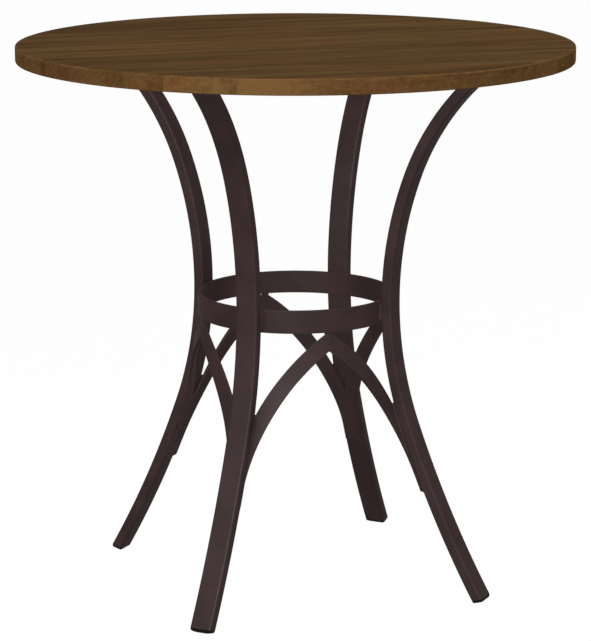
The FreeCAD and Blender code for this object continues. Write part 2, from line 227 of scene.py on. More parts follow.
class StudioSettings(bpy.types.PropertyGroup):
    """Floor, lamps and camera."""

    floor_radius: length_setting("Floor", "Radius of the floor", 40.0)
    floor_colour: colour_setting(
        "Floor colour", "Colour that the floor throws back on the table", (0.4, 0.4, 0.4))
    backdrop_colour: colour_setting(
        "Backdrop colour", "Colour of the floor as the camera sees it", (0.8, 0.8, 0.8))
    floor_white: share_setting(
        "Floor white", "Share of plain white that the camera sees in the floor", 0.97)
    room_light: FloatProperty(
        name="Room light", description="Strength of the even light from all round", min=0, default=0.39)
    key_light: power_setting("Key lamp", "Power of the large lamp above the camera", 152.0)
    key_azimuth: angle_setting(
        "Key azimuth", "Direction of the key lamp from the camera's, round the table", -12)
    key_elevation: angle_setting(
        "Key elevation", "Height of the key lamp as an angle above level", 32)
    right_light: power_setting("Right lamp", "Power of the lamp on the right", 78.0)
    right_azimuth: angle_setting(
        "Right azimuth", "Direction of the right lamp from the camera's, round the table", 90)
    right_elevation: angle_setting(
        "Right elevation", "Height of the right lamp as an angle above level", 45)
    left_light: power_setting("Left lamp", "Power of the lamp on the left", 22.0)
    left_azimuth: angle_setting(
        "Left azimuth", "Direction of the left lamp from the camera's, round the table", -60)
    left_elevation: angle_setting(
        "Left elevation", "Height of the left lamp as an angle above level", 15)
    lamp_distance: length_setting("Lamp distance", "Distance from the table's middle to each lamp", 4.0)
    lamp_size: length_setting("Lamp size", "Width and height of each lamp", 1.8)
    camera_distance: length_setting(
        "Camera distance", "Level distance from the table's axis to the camera", 4.3294)
    camera_height: length_setting("Camera height", "Height of the camera above the floor", 1.41625)
    camera_azimuth: angle_setting(
        "Camera azimuth", "Direction of the camera round the table from the front", -19.21)
    camera_pitch: angle_setting("Camera pitch", "Tilt of the camera below level", 12.66)
    camera_lens: FloatProperty(
        name="Lens", description="Focal length on a 36 mm sensor",
        subtype="DISTANCE_CAMERA", unit="CAMERA", default=148.77)


def new_material(name):
    """Empty node material and its node tree."""
    material = bpy.data.materials.new(name)
    material.use_nodes = True
    material.node_tree.nodes.clear()
    return material, material.node_tree


def add(tree, kind, inputs=None, **settings):
    """Node of a kind with its settings made, and each named input given a value or a link."""
    node = tree.nodes.new(kind)
    for name, value in settings.items():
        setattr(node, name, value)
    for name, value in (inputs or {}).items():
        if isinstance(value, bpy.types.NodeSocket):
            tree.links.new(value, node.inputs[name])
        else:
            node.inputs[name].default_value = value
    return node


def math_node(tree, operation, first, second=0.0, clamp=False):
    """Output of a math node on two values or links."""
    return add(tree, "ShaderNodeMath", {0: first, 1: second}, operation=operation, use_clamp=clamp).outputs[0]


def plus(tree, first, second):
    """Sum of two values or links."""
    return math_node(tree, "ADD", first, second)


def minus(tree, first, second):
    """Difference of two values or links."""
    return math_node(tree, "SUBTRACT", first, second)


def times(tree, first, second):
    """Product of two values or links."""
    return math_node(tree, "MULTIPLY", first, second)


def smooth_step(tree, value, start, end):
    """0 to 1 as value goes smoothly from start to end."""
    inputs = {"Value": value, "From Min": start, "From Max": end}
    return add(tree, "ShaderNodeMapRange", inputs, interpolation_type="SMOOTHSTEP").outputs["Result"]


def between(tree, value, low, high):
    """Low to high as value goes from 0 to 1."""
    return add(tree, "ShaderNodeMapRange", {"Value": value, "To Min": low, "To Max": high}).outputs["Result"]


def noise(tree, vector, scale, detail=2.0, roughness=0.5, distortion=0.0):
    """Value of a noise texture."""
    inputs = {"Vector": vector, "Scale": scale, "Detail": detail, "Roughness": roughness,
              "Distortion": distortion}
    return add(tree, "ShaderNodeTexNoise", inputs).outputs["Fac"]


def stretched(tree, vector, scale, offset=(0.0, 0.0, 0.0)):
    """Vector moved by an offset and scaled along its axes."""
    return add(tree, "ShaderNodeMapping", {"Vector": vector, "Location": offset, "Scale": scale}).outputs[0]


def mix_colour(tree, share, first, second, blend="MIX"):
    """Blend of two colours by a share."""
    node = add(tree, "ShaderNodeMix", data_type="RGBA", blend_type=blend)
    for socket, value in ((node.inputs[0], share), (node.inputs[6], first), (node.inputs[7], second)):
        if isinstance(value, bpy.types.NodeSocket):
            tree.links.new(value, socket)
        elif isinstance(value, float):
            socket.default_value = value
        else:
            socket.default_value = (*value, 1.0)
    return node.outputs[2]


def finish_material(tree, colour, roughness, height, bump_distance, bump_strength, links=None, **constants):
    """Principled surface with a bump and more links, its constant values set on its own sockets."""
    bump = add(tree, "ShaderNodeBump",
               {"Strength": bump_strength, "Distance": bump_distance, "Height": height})
    surface = add(tree, "ShaderNodeBsdfPrincipled",
                  {"Base Color": colour, "Roughness": roughness, "Normal": bump.outputs[0], **(links or {})})
    for name, value in constants.items():
        surface.inputs[name.replace("_", " ")].default_value = value
    add(tree, "ShaderNodeOutputMaterial", {"Surface": surface.outputs[0]})


def wood_noise(tree, place, kind):
    """One of the wood's noise patterns, drawn out along the stave."""
    along, across, detail, roughness, distortion = WOOD_NOISE[kind]
    return noise(tree, stretched(tree, place, (along, across, across)), 1.0, detail, roughness, distortion)


def growth_rings(tree, place, sway, low, high, ring_spacing, generator):
    """Saw wave of the distance from a swaying line that runs along the stave, a little below it.

    The line's place and its slant to the stave are random.
    """
    axis_y = -(low.y + high.y) / 2 + generator.uniform(-30, 30) * MM
    axis_z = -TOP_UNDERSIDE + generator.uniform(25, 60) * MM
    turn = tuple(np.radians(generator.uniform(-1.4, 1.4, 3)) * (0, 1, 1))
    heart = add(tree, "ShaderNodeMapping",
                {"Vector": place, "Location": (0.0, axis_y, axis_z), "Rotation": turn})
    sideways = add(tree, "ShaderNodeCombineXYZ", {"Y": times(tree, sway, 26 * MM)})
    swayed = add(tree, "ShaderNodeVectorMath", {0: heart.outputs[0], 1: sideways.outputs[0]}, operation="ADD")
    inputs = {"Vector": swayed.outputs[0], "Scale": math.tau / 20 / ring_spacing, "Distortion": 1.6,
              "Detail": 3.0, "Detail Scale": 0.5, "Detail Roughness": 0.6}
    return add(tree, "ShaderNodeTexWave", inputs,
               wave_type="RINGS", rings_direction="X", wave_profile="SAW").outputs["Fac"]


def seamed(tree, level, place, across, number, looks):
    """Level of the wood made darker by a wandering streak along each seam and by its glue line."""
    low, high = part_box(STAVES[number])
    for edge, seam in ((low.y, number - 1), (high.y, number)):
        if not 0 <= seam < len(SEAM_TONES):
            continue
        gap = math_node(tree, "ABSOLUTE", minus(tree, across, edge))
        wander = noise(tree, stretched(tree, place, (3.5, 0.0, 0.0), (seam * 3.7, 0.0, 0.0)), 1.0, 3.0, 0.6)
        strength = times(tree, smooth_step(tree, wander, 0.38, 0.66), SEAM_TONES[seam])
        far = math_node(tree, "DIVIDE", gap, looks.seam_shade_width)
        near = math_node(tree, "SUBTRACT", 1.0, far, clamp=True)
        level = minus(tree, level, times(tree, times(tree, near, strength), 0.4))
        line = math_node(tree, "LESS_THAN", gap, looks.seam_width / 2)
        level = minus(tree, level, times(tree, line, 0.25))
    return level


def worn_and_highlit_arris(tree, place, height, from_rim, reach):
    """Share of paler wood, in patches within a reach of the rim's upper and lower edges: worn wood and a
    painted highlight.
    """
    middle = (TABLE_HEIGHT + TOP_UNDERSIDE) / 2
    from_middle = math_node(tree, "ABSOLUTE", minus(tree, height, middle))
    from_face = minus(tree, TABLE_HEIGHT - middle, from_middle)
    from_arris = math_node(tree, "MAXIMUM", from_rim, from_face)
    worn = smooth_step(tree, from_arris, reach, 0.3 * reach)
    return times(tree, worn, smooth_step(tree, noise(tree, place, 30.0, 3.0), 0.35, 0.65))


def wood_material(looks, number, generator):
    """Stained wood of one stave, from solid patterns, so that the grain runs on round the rim.

    Patches, streaks and pores are noise stretched along X, and growth rings are a wave of the
    distance from a line that runs along the stave below it. Each pattern is centred on 0 and
    weighted, and their sum moves the colour from dark to light. The seams' streaks, the paler
    arris, which is worn wood and a painted highlight, and the rim's mottle go by distance.
    """
    low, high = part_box(STAVES[number])
    material, tree = new_material("stained_wood_%02d" % (number + 1))
    place = add(tree, "ShaderNodeTexCoord").outputs["Object"]
    own = stretched(tree, place, (1.0, 1.0, 1.0), tuple(generator.uniform(-5, 5, 3)))
    patterns = {kind: wood_noise(tree, own, kind) for kind in WOOD_NOISE}
    patterns["rings"] = growth_rings(tree, place, patterns["sway"], low, high, looks.ring_spacing, generator)
    pores = smooth_step(tree, patterns["pores"], 0.60, 0.72)

    axes = add(tree, "ShaderNodeSeparateXYZ", {0: place}).outputs
    level_place = add(tree, "ShaderNodeCombineXYZ", {"X": axes["X"], "Y": axes["Y"]}).outputs[0]
    outward = add(tree, "ShaderNodeVectorMath", {0: level_place}, operation="LENGTH").outputs["Value"]
    from_rim = minus(tree, TOP_RADIUS, outward)
    on_rim = smooth_step(tree, from_rim, 1.5 * MM, 0.5 * MM)

    halved_on_rim = minus(tree, 1.0, times(tree, on_rim, 0.5))
    weights = {
        "patches": times(tree, halved_on_rim, 1.25),
        "bands": times(tree, halved_on_rim, 0.85),
        "streaks": 0.4,
        "fibres": 0.25,
        "rings": -0.10,
        "mottle": plus(tree, looks.mottle, times(tree, on_rim, looks.rim_mottle)),
    }
    level = 0.5
    for kind, weight in weights.items():
        level = plus(tree, level, times(tree, minus(tree, patterns[kind], 0.5), weight))
    level = minus(tree, level, times(tree, pores, 0.15))
    for start, end, strength in PALE_PATCHES.get(number, ()):
        rise = smooth_step(tree, axes["X"], start - 15 * MM, start + 15 * MM)
        fall = smooth_step(tree, axes["X"], end + 60 * MM, end - 30 * MM)
        patch = times(tree, times(tree, rise, fall), strength)
        level = plus(tree, level, times(tree, patch, on_rim))
    level = seamed(tree, level, place, axes["Y"], number, looks)
    level = math_node(tree, "ADD", level, 0.0, clamp=True)

    ramp = add(tree, "ShaderNodeValToRGB", {"Fac": level})
    middle = [(light + dark) / 2 for light, dark in zip(looks.wood_light, looks.wood_dark)]
    ramp.color_ramp.elements.new(0.5)
    for element, position, colour in zip(ramp.color_ramp.elements, (0.0, 0.5, 1.0),
                                         (looks.wood_dark, middle, looks.wood_light)):
        element.position = position
        element.color = (*[channel * STAVE_TONES[number] for channel in colour], 1.0)
    drift = noise(tree, stretched(tree, own, (3.0, 16.0, 16.0), (3.1, 0.0, 0.0)), 1.0, 2.0)
    tint = mix_colour(tree, smooth_step(tree, drift, 0.35, 0.65), looks.wood_olive, looks.wood_rosy)
    colour = mix_colour(tree, 1.0, ramp.outputs["Color"], tint, "MULTIPLY")
    colour = mix_colour(tree, on_rim, colour, mix_colour(tree, 1.0, colour, looks.rim_tint, "MULTIPLY"))
    # Paler wood along the arris: worn wood and a painted highlight.
    worn = worn_and_highlit_arris(tree, place, axes["Z"], from_rim, looks.arris_wear_and_highlight)
    bare_and_highlit_wood = [min(1.0, 1.5 * channel) for channel in looks.wood_light]
    colour = mix_colour(tree, times(tree, worn, 0.3), colour, bare_and_highlit_wood)

    roughness = between(tree, patterns["streaks"], 0.74, 0.88)
    height = minus(tree, times(tree, patterns["fibres"], 0.4), pores)
    finish_material(tree, colour, roughness, height, 0.12 * MM, 0.5, Specular_IOR_Level=0.005)
    return material


def coat_material(looks):
    """Fine-textured powder coat on steel, a little paler in patches along its edges: rubbed coat and a
    painted highlight.

    The clear film's weight is the cosine of the angle it is seen at to the power 8, times the gloss.
    """
    material, tree = new_material("powder_coat")
    place = add(tree, "ShaderNodeTexCoord").outputs["Object"]
    cloud = noise(tree, place, 14.0, 3.0, 0.6)
    speckle = noise(tree, place, 900.0, 2.0, 0.7)
    peel = noise(tree, place, 420.0, 2.0, 0.5)
    deep = [0.82 * channel for channel in looks.coat_colour]
    lifted = [1.18 * channel for channel in looks.coat_colour]
    colour = mix_colour(tree, smooth_step(tree, cloud, 0.3, 0.7), deep, lifted)
    specks = times(tree, smooth_step(tree, speckle, 0.55, 0.8), 0.25)
    colour = mix_colour(tree, specks, colour, looks.worn_coat_and_highlight)
    # Paler edges in patches: rubbed coat and a painted highlight along the tube's corners.
    rounded = add(tree, "ShaderNodeBevel", {"Radius": 1.2 * MM}, samples=4).outputs[0]
    flat = add(tree, "ShaderNodeNewGeometry").outputs["Normal"]
    level = add(tree, "ShaderNodeVectorMath", {0: rounded, 1: flat}, operation="DOT_PRODUCT").outputs["Value"]
    edge = smooth_step(tree, level, 0.99, 0.80)
    rub_and_highlight = times(tree, edge, smooth_step(tree, noise(tree, place, 60.0, 3.0), 0.4, 0.7))
    colour = mix_colour(tree, times(tree, rub_and_highlight, 0.7), colour, looks.worn_coat_and_highlight)
    roughness = between(tree, cloud, 0.68, 0.80)
    facing = add(tree, "ShaderNodeLayerWeight", {"Blend": 0.5}).outputs["Facing"]
    film = times(tree, math_node(tree, "POWER", minus(tree, 1.0, facing), 8.0), looks.coat_gloss)
    finish_material(tree, colour, roughness, peel, 0.05 * MM, 0.6, {"Coat Weight": film},
                    Specular_IOR_Level=0.05, Coat_Roughness=0.45)
    return material


def plastic_material(looks):
    """Black moulded plastic, dulled by scuffs."""
    material, tree = new_material("black_plastic")
    place = add(tree, "ShaderNodeTexCoord").outputs["Object"]
    scuffs = noise(tree, stretched(tree, place, (160.0, 160.0, 700.0)), 1.0, 3.0, 0.65)
    worn = smooth_step(tree, scuffs, 0.52, 0.75)
    dusty = [channel + 0.008 for channel in looks.glide_colour]
    colour = mix_colour(tree, times(tree, worn, 0.6), looks.glide_colour, dusty)
    roughness = between(tree, scuffs, 0.6, 0.85)
    finish_material(tree, colour, roughness, scuffs, 0.06 * MM, 0.5, Specular_IOR_Level=0.05)
    return material


def screw_material(looks):
    """Zinc plate with a fine cloudy bloom."""
    material, tree = new_material("zinc_plate")
    place = add(tree, "ShaderNodeTexCoord").outputs["Object"]
    bloom = noise(tree, place, 700.0, 3.0, 0.6)
    dull = [0.7 * channel for channel in looks.screw_colour]
    colour = mix_colour(tree, bloom, dull, looks.screw_colour)
    roughness = between(tree, bloom, 0.28, 0.5)
    finish_material(tree, colour, roughness, bloom, 0.02 * MM, 0.4, Metallic=1.0)
    return material


def give_material(piece, material):
    """One material on every slot of a piece."""
    if not piece.data.materials:
        piece.data.materials.append(material)
    for number in range(len(piece.data.materials)):
        piece.data.materials[number] = material


def mesh_piece(name, points, faces, material):
    """Piece at the origin from points and faces, riding on the table."""
    mesh = bpy.data.meshes.new(name)
    mesh.from_pydata(points.tolist(), [], faces)
    mesh.validate()
    mesh.polygons.foreach_set("use_smooth", np.ones(len(mesh.polygons), bool))
    piece = bpy.data.objects.new(name, mesh)
    bpy.context.scene.collection.objects.link(piece)
    give_material(piece, material)
    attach(piece, "root")
    return piece


def stand_in(node, ending, points, faces, material):
    """Piece that stands for a CAD node and is named after it."""
    piece = mesh_piece(node + ending, points, faces, material)
    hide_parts(node)
    return piece


def mark_edges(piece):
    """Sharp edges wherever the faces turn by more than SHARP_TURN."""
    piece.data.set_sharp_from_angle(angle=SHARP_TURN)


def even_shading(piece):
    """Normals weighted by the faces' sizes, so that flat faces look flat, with sharp edges kept."""
    smooth = piece.modifiers.new("Even shading", "WEIGHTED_NORMAL")
    smooth.keep_sharp = True


def ring_faces(rows, around, closed=False):
    """Quads between neighbouring rows of points that each close round, and last row to first if closed."""
    i, j = np.meshgrid(np.arange(rows if closed else rows - 1), np.arange(around), indexing="ij")
    below, above, k = i * around, (i + 1) % rows * around, (j + 1) % around
    return np.stack([below + j, below + k, above + k, above + j], -1).reshape(-1, 4).tolist()


def capped(rows):
    """Points and faces of a closed form: quads between its rows, and one face over each end."""
    count, around = rows.shape[:2]
    faces = ring_faces(count, around)
    faces.append(list(range(around))[::-1])
    faces.append(list(range((count - 1) * around, count * around)))
    return rows.reshape(-1, 3), faces


def tube_section(shape, inset):
    """Outline of the tube drawn in by an inset, once round, as depths behind the outer face and sides.

    It is a rectangle with a quarter circle at each corner, of the tube's corner radius less the inset
    but no less than half the wall.
    """
    corner = max(shape.tube_corner - inset, shape.tube_wall / 2)
    turn = (np.arange(4)[:, None] + np.linspace(0, 1, 9)).ravel() * math.pi / 2
    quarter = np.repeat(np.arange(4), 9) * math.pi / 2 + math.pi / 4
    outward = np.sign(np.cos(quarter)) * (shape.tube_depth / 2 - inset - corner) + corner * np.cos(turn)
    sideways = np.sign(np.sin(quarter)) * (shape.tube_width / 2 - inset - corner) + corner * np.sin(turn)
    return shape.tube_depth / 2 - outward, sideways


class LegCurve:
    """Half of a leg's outer face, from the upright waist to one end, as two tangent arcs.

    side is 1 above the waist and -1 below it. At a turn t from upright and a depth d behind the
    outer face, the distance from the axis is c - (R + d) cos t and the height is
    h + side * (R + d) sin t, with the bend's radius R and its centre's place c and h. The two radii
    come from the run outwards and the rise that both arcs together have to make.
    """

    def __init__(self, shape, side, end_radius, end_height, bends):
        run = end_radius - shape.waist_radius
        rise = side * (end_height - shape.waist_height)
        chord = math.atan2(run, rise)
        self.bend = bends[0] * chord
        last = bends[1] * chord
        first_run, first_rise = 1 - math.cos(self.bend), math.sin(self.bend)
        second_run, second_rise = math.cos(self.bend) - math.cos(last), math.sin(last) - first_rise
        scale = first_run * second_rise - second_run * first_rise
        self.first = (run * second_rise - second_run * rise) / scale
        self.second = (first_run * rise - first_rise * run) / scale
        self.side = side
        self.start = (shape.waist_radius + self.first, shape.waist_height)
        change = self.first - self.second
        self.end = (self.start[0] - change * math.cos(self.bend),
                    self.start[1] + side * change * math.sin(self.bend))

    def point(self, turn, depth):
        """Distance from the axis and height at turns and depths."""
        inner = turn <= self.bend
        reach = np.where(inner, self.first, self.second) + depth
        distance = np.where(inner, self.start[0], self.end[0]) - reach * np.cos(turn)
        height = np.where(inner, self.start[1], self.end[1]) + self.side * reach * np.sin(turn)
        return distance, height

    def turn_at(self, height, depth):
        """Turn at a height on the bend beyond the inner one, at depths."""
        return np.arcsin(self.side * (height - self.end[1]) / (self.second + depth))


def lower_curve(shape):
    """Half of a leg below the waist."""
    return LegCurve(shape, -1, shape.foot_radius, shape.foot_height, shape.lower_bends)


def cut_turns(shape, height, depth):
    """Turns at which the foot's cut meets the tube, by depth, with the cut's middle at a height."""
    curve = lower_curve(shape)
    square = curve.turn_at(height, shape.tube_depth / 2)
    return square + (1 - shape.cut_squareness) * (curve.turn_at(height, depth) - square)


def foot_section(shape, height, inset):
    """Tube's outline drawn in by an inset, on the foot's cut: distance, side and height."""
    depth, side = tube_section(shape, inset)
    distance, level = lower_curve(shape).point(cut_turns(shape, height, depth), depth)
    return np.stack([distance, side, level], 1)


def glide_rows(shape, height):
    """Rows of a glide's points from its plug's top down to its dome's end: distance, side and height.

    The dome's rows are the collar's outline drawn in to the middle by cos(v) to the power 2 / p and
    lowered by the dome's height times sin(v) to the power 2 / p, as v goes from 0 to a quarter turn,
    with p the fullness. A last small row ends them.
    """
    plug = foot_section(shape, height, 1.2 * shape.tube_wall)
    collar = foot_section(shape, height, shape.glide_inset)
    middle = collar.mean(0)
    turn = cut_turns(shape, height, shape.tube_depth / 2)
    up = np.array([-math.sin(turn), 0.0, math.cos(turn)])
    lean = shape.cut_squareness * turn
    down = np.array([math.sin(lean), 0.0, -math.cos(lean)])
    v = np.linspace(0, math.pi / 2, 15)[:-1]
    power = 2 / shape.dome_fullness
    scale = np.concatenate([[1.0], np.cos(v) ** power, [0.02]])
    fall = np.concatenate([shape.glide_dome * np.sin(v) ** power, [shape.glide_dome]])
    drop = np.concatenate([[0.0], shape.glide_collar + fall])
    dome = middle + scale[:, None, None] * (collar - middle) + drop[:, None, None] * down
    return np.concatenate([[plug + shape.plug_length * up, plug], dome])


def foot_cut_height(shape):
    """Height of the foot cut's middle that puts the glide's lowest point on the floor, in a few steps."""
    height = shape.glide_collar + shape.glide_dome
    for _ in range(5):
        height -= glide_rows(shape, height)[..., 2].min()
    return height


def leg_axes(corner):
    """Level directions outwards and sideways at a leg."""
    low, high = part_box("leg_" + corner)
    outward = np.array([low.x + high.x, low.y + high.y, 0.0])
    outward /= np.linalg.norm(outward)
    return outward, np.array([-outward[1], outward[0], 0.0])


def stood(corner, local):
    """Points given by distance from the axis, side and height, in a leg's own place."""
    outward, sideways = leg_axes(corner)
    return local[..., :1] * outward + local[..., 1:2] * sideways + local[..., 2:] * UP


def leg_tube(corner, shape):
    """Points and faces of one leg's bent tube, with its inside, cut at the foot and level at the plate.

    The section is carried from the foot's cut to the waist and on to the plate, in even shares of
    the turn at each of its points.
    """
    lower, foot = lower_curve(shape), foot_cut_height(shape)
    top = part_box("leg_" + corner)[1].z
    upper = LegCurve(shape, 1, shape.top_radius, top, shape.upper_bends)
    share = np.linspace(0, 1, 65)[:, None]
    shells = []
    for inset in (0.0, shape.tube_wall):
        depth, side = tube_section(shape, inset)
        below = lower.point(share[::-1] * cut_turns(shape, foot, depth), depth)
        above = upper.point(share[1:] * upper.turn_at(top, depth), depth)
        distance, height = [np.concatenate(pair) for pair in zip(below, above)]
        shells.append(np.stack([distance, np.broadcast_to(side, distance.shape), height], -1))
    rows = stood(corner, np.concatenate([shells[0], shells[1][::-1]]))
    return rows.reshape(-1, 3), ring_faces(rows.shape[0], rows.shape[1], closed=True)


def domed_glide(corner, shape):
    """Points and faces of one plastic glide: a plug in the tube, a collar and a dome on the floor."""
    return capped(stood(corner, glide_rows(shape, foot_cut_height(shape))[::-1]))


def node_points(name):
    """Points of a CAD node's mesh as an array."""
    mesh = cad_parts[name].data
    points = np.empty(len(mesh.vertices) * 3)
    mesh.vertices.foreach_get("co", points)
    return points.reshape(-1, 3)


def bead(path, first, second, size, looks, generator):
    """Fillet weld of a size along a path: points and faces of a closed bead.

    At distance s along the path and turn t from 0 to a quarter turn, a surface point is
    path(s) + leg(s) * swell(t) * (cos t * first + sin t * second), where first and second lie on
    the two joined faces. leg is the size, rippled as the absolute sine of s over the pitch, and falls
    to nothing at both ends as a quarter ellipse. One row more lies just inside the metal. The rows
    along the path lie a little closer at its ends.
    """
    steps = np.linalg.norm(np.diff(path, axis=0), axis=1)
    along = np.concatenate([[0.0], np.cumsum(steps)])
    length = along[-1]
    count = max(int(length / looks.weld_pitch * RIPPLE_ROWS), 10)
    even = np.linspace(0, 1, count)
    s = length * (0.35 * (1 - np.cos(math.pi * even)) / 2 + 0.65 * even)
    centre = np.stack([np.interp(s, along, path[:, axis]) for axis in range(3)], 1)
    a = np.array(first) / np.linalg.norm(first)
    b = np.array(second) / np.linalg.norm(second)
    wave = np.abs(np.sin(math.pi * s / looks.weld_pitch + generator.uniform(0, math.pi)))
    ripple = 1 - RIPPLE_DEPTH + RIPPLE_DEPTH * wave
    taper = min(1.5 * size, length / 3)
    end = np.clip(np.minimum(s, length - s) / taper, 0, 1)
    leg = size * ripple * np.sqrt(np.maximum(1 - (1 - end) ** 2, 0.0)) + 0.01 * MM
    turn = np.linspace(0, math.pi / 2, 7)
    swell = 1 - BEAD_HOLLOW * np.sin(2 * turn)
    section = (np.outer(np.cos(turn), a) + np.outer(np.sin(turn), b)) * swell[:, None]
    surface = centre[:, None] + leg[:, None, None] * section[None]
    sunk = (centre - (a + b) * np.minimum(leg, 0.3 * MM)[:, None])[:, None]
    points, faces = capped(np.concatenate([surface, sunk], 1))
    if np.dot(np.cross(a, b), path[-1] - path[0]) < 0:
        faces = [face[::-1] for face in faces]
    return points, faces


def joined(beads):
    """Points and faces of several beads as one list of each."""
    points, faces, start = [], [], 0
    for some_points, some_faces in beads:
        points.append(some_points)
        faces += [[start + corner for corner in face] for face in some_faces]
        start += len(some_points)
    return np.concatenate(points), faces


def outer_face(height, distance):
    """Cubic of distance over height through the outer of two parallel faces.

    A first cubic through the points of both faces runs between them and tells them apart.
    """
    middle = np.polyfit(height, distance, 3)
    outer = distance > np.polyval(middle, height)
    return np.polyfit(height[outer], distance[outer], 3)


def on_shell(corner, side, distance, height):
    """Points at distances from the table's axis and at heights, each to one side of a leg's middle."""
    side, distance, height = np.broadcast_arrays(side, distance, height)
    reach = np.sqrt(distance ** 2 - side ** 2)
    return stood(corner, np.stack([reach, side, height], 1))


def hoop_and_strap_welds(corner, looks, generator):
    """Beads on one leg's inner face: to the hoop and to its two straps."""
    outward, sideways = leg_axes(corner)
    hoop_low, hoop_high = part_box("waist_hoop")
    hoop_radius = (hoop_high.x - hoop_low.x) / 2
    straps = np.concatenate([node_points(name) for name in LEG_STRAPS[corner]])
    height = straps[:, 2]
    shell = outer_face(height, np.hypot(straps[:, 0], straps[:, 1]))
    tail = height.min()

    def strap_path(side, run):
        heights = np.linspace(tail + run[0], tail + run[1], 24)
        return on_shell(corner, side, np.polyval(shell, heights), heights)

    beads = []
    for sign in (-1, 1):
        side = sign * LEG_EDGE
        away = sign * sideways - LEG_EDGE / hoop_radius * outward
        heights = np.linspace(hoop_low.z + 2 * MM, hoop_high.z - 2 * MM, 12)
        path = on_shell(corner, side, hoop_radius, heights)
        beads.append(bead(path, away, outward, HOOP_WELD, looks, generator))
        beads.append(bead(strap_path(side, LEAVING_RUN), away, outward, STRAP_WELD, looks, generator))

        path = strap_path(sign * STRAP_SIDE, TAIL_RUN)
        rise = (path[-1] - path[0]) / np.linalg.norm(path[-1] - path[0])
        inward = np.cross(sign * sideways, rise)
        inward *= -np.sign(inward @ outward)
        path = path - 0.3 * MM * inward
        away = sign * sideways - 0.3 * inward
        beads.append(bead(path, away, inward, looks.weld_size, looks, generator))

    lowest = tail + 1.9 * MM
    path = on_shell(corner, np.linspace(-15.0, 15.0, 9) * MM, np.polyval(shell, lowest) + 0.5 * MM, lowest)
    beads.append(bead(path, -rise, inward, TAIL_WELD, looks, generator))
    return beads


def plate_welds(corner, looks, generator):
    """Beads round one leg's upper end, on the plate under the top."""
    outward, sideways = leg_axes(corner)
    leg = node_points("leg_" + corner)
    top = leg[:, 2].max()
    upper = leg[leg[:, 2] > top - 120 * MM]
    lean = np.polyfit(upper[:, 2], upper @ outward, 1)[0]
    down = -(lean * outward + UP)
    end = leg[leg[:, 2] > top - 0.1 * MM]
    near, far = (end @ outward).min(), (end @ outward).max()
    half = (end @ sideways).max()
    width = np.linspace(4 * MM - half, half - 4 * MM, 9)[:, None]
    depth = np.linspace(near + 3 * MM, far - 3 * MM, 9)[:, None]
    beads = []
    for distance, away in ((near, -outward), (far, outward)):
        path = distance * outward + width * sideways + top * UP
        beads.append(bead(path, away, down, PLATE_WELD, looks, generator))
    for sign in (-1, 1):
        path = depth * outward + sign * half * sideways + top * UP
        beads.append(bead(path, sign * sideways, down, PLATE_WELD, looks, generator))
    return beads


def point_welds(looks, generator):
    """Beads in the two wedges of each arch's point, where its straps meet under the hoop."""
    low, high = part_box("waist_hoop")
    radius = (high.x - low.x) / 2
    reach = np.linspace(radius - 5.6 * MM, radius - 0.4 * MM, 9)[:, None]
    beads = []
    for quarter in range(4):
        turn = quarter * math.pi / 2
        outward = np.array([math.cos(turn), math.sin(turn), 0.0])
        sideways = np.array([-outward[1], outward[0], 0.0])
        for sign in (-1, 1):
            away = sign * sideways
            path = reach * outward + 1.4 * MM * away + (low.z - 0.2 * MM) * UP
            beads.append(bead(path, away, away - UP, POINT_WELD, looks, generator))
    return beads


def merged_mesh(node):
    """Points and triangles of a CAD node's mesh, with points at the same place merged."""
    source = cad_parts[node].data
    corners = np.empty(len(source.loops), np.int64)
    source.loops.foreach_get("vertex_index", corners)
    points = node_points(node)
    grid = np.round(points / (0.01 * MM)).astype(np.int64)
    first, where = np.unique(grid, axis=0, return_index=True, return_inverse=True)[1:]
    faces = where.ravel()[corners].reshape(-1, 3)
    whole = (faces != np.roll(faces, -1, 1)).all(1)
    return points[first], faces[whole]


def sharp_edges(points, faces):
    """Edges of closed triangles where two faces turn sharply, as sorted pairs of points."""
    normals = np.cross(points[faces[:, 1]] - points[faces[:, 0]], points[faces[:, 2]] - points[faces[:, 0]])
    normals /= np.linalg.norm(normals, axis=1)[:, None]
    pairs = np.sort(np.stack([faces, np.roll(faces, -1, 1)], -1).reshape(-1, 2), 1)
    beside = np.repeat(np.arange(len(faces)), 3)
    order = np.lexsort((pairs[:, 1], pairs[:, 0]))
    pairs, beside = pairs[order], beside[order]
    turned = np.einsum("ij,ij->i", normals[beside[0::2]], normals[beside[1::2]]) < math.cos(SHARP_TURN)
    return pairs[0::2][turned]


def rolled_strap(node, looks, material):
    """Strap that stands for a node: a copy of its mesh, merged, with its sharp edges rolled round.

    The edges stay sharp in the planes through the axis where two straps are mitred together.
    """
    points, faces = merged_mesh(node)
    piece = stand_in(node, "_rolled", points, faces.tolist(), material)
    edges = sharp_edges(points, faces)
    x, y = points[:, 0], points[:, 1]
    planes = np.abs(np.stack([x, y, x - y, x + y], 1)) < 0.05 * MM
    mitred = (planes[edges[:, 0]] & planes[edges[:, 1]]).any(1)
    rolled = {tuple(pair) for pair in edges[~mitred].tolist()}
    sharp = {tuple(pair) for pair in edges[mitred].tolist()}
    mesh = piece.data
    ends = np.empty(len(mesh.edges) * 2, np.int64)
    mesh.edges.foreach_get("vertices", ends)
    ends = np.sort(ends.reshape(-1, 2), 1).tolist()
    weights = mesh.attributes.new("bevel_weight_edge", "FLOAT", "EDGE")
    weights.data.foreach_set("value", np.array([tuple(pair) in rolled for pair in ends], np.float32))
    mesh.edges.foreach_set("use_edge_sharp", np.array([tuple(pair) in sharp for pair in ends], bool))

    bevel = piece.modifiers.new("Rolled edges", "BEVEL")
    bevel.limit_method = "WEIGHT"
    bevel.width = looks.strap_edge
    bevel.segments = 3
    even_shading(piece)


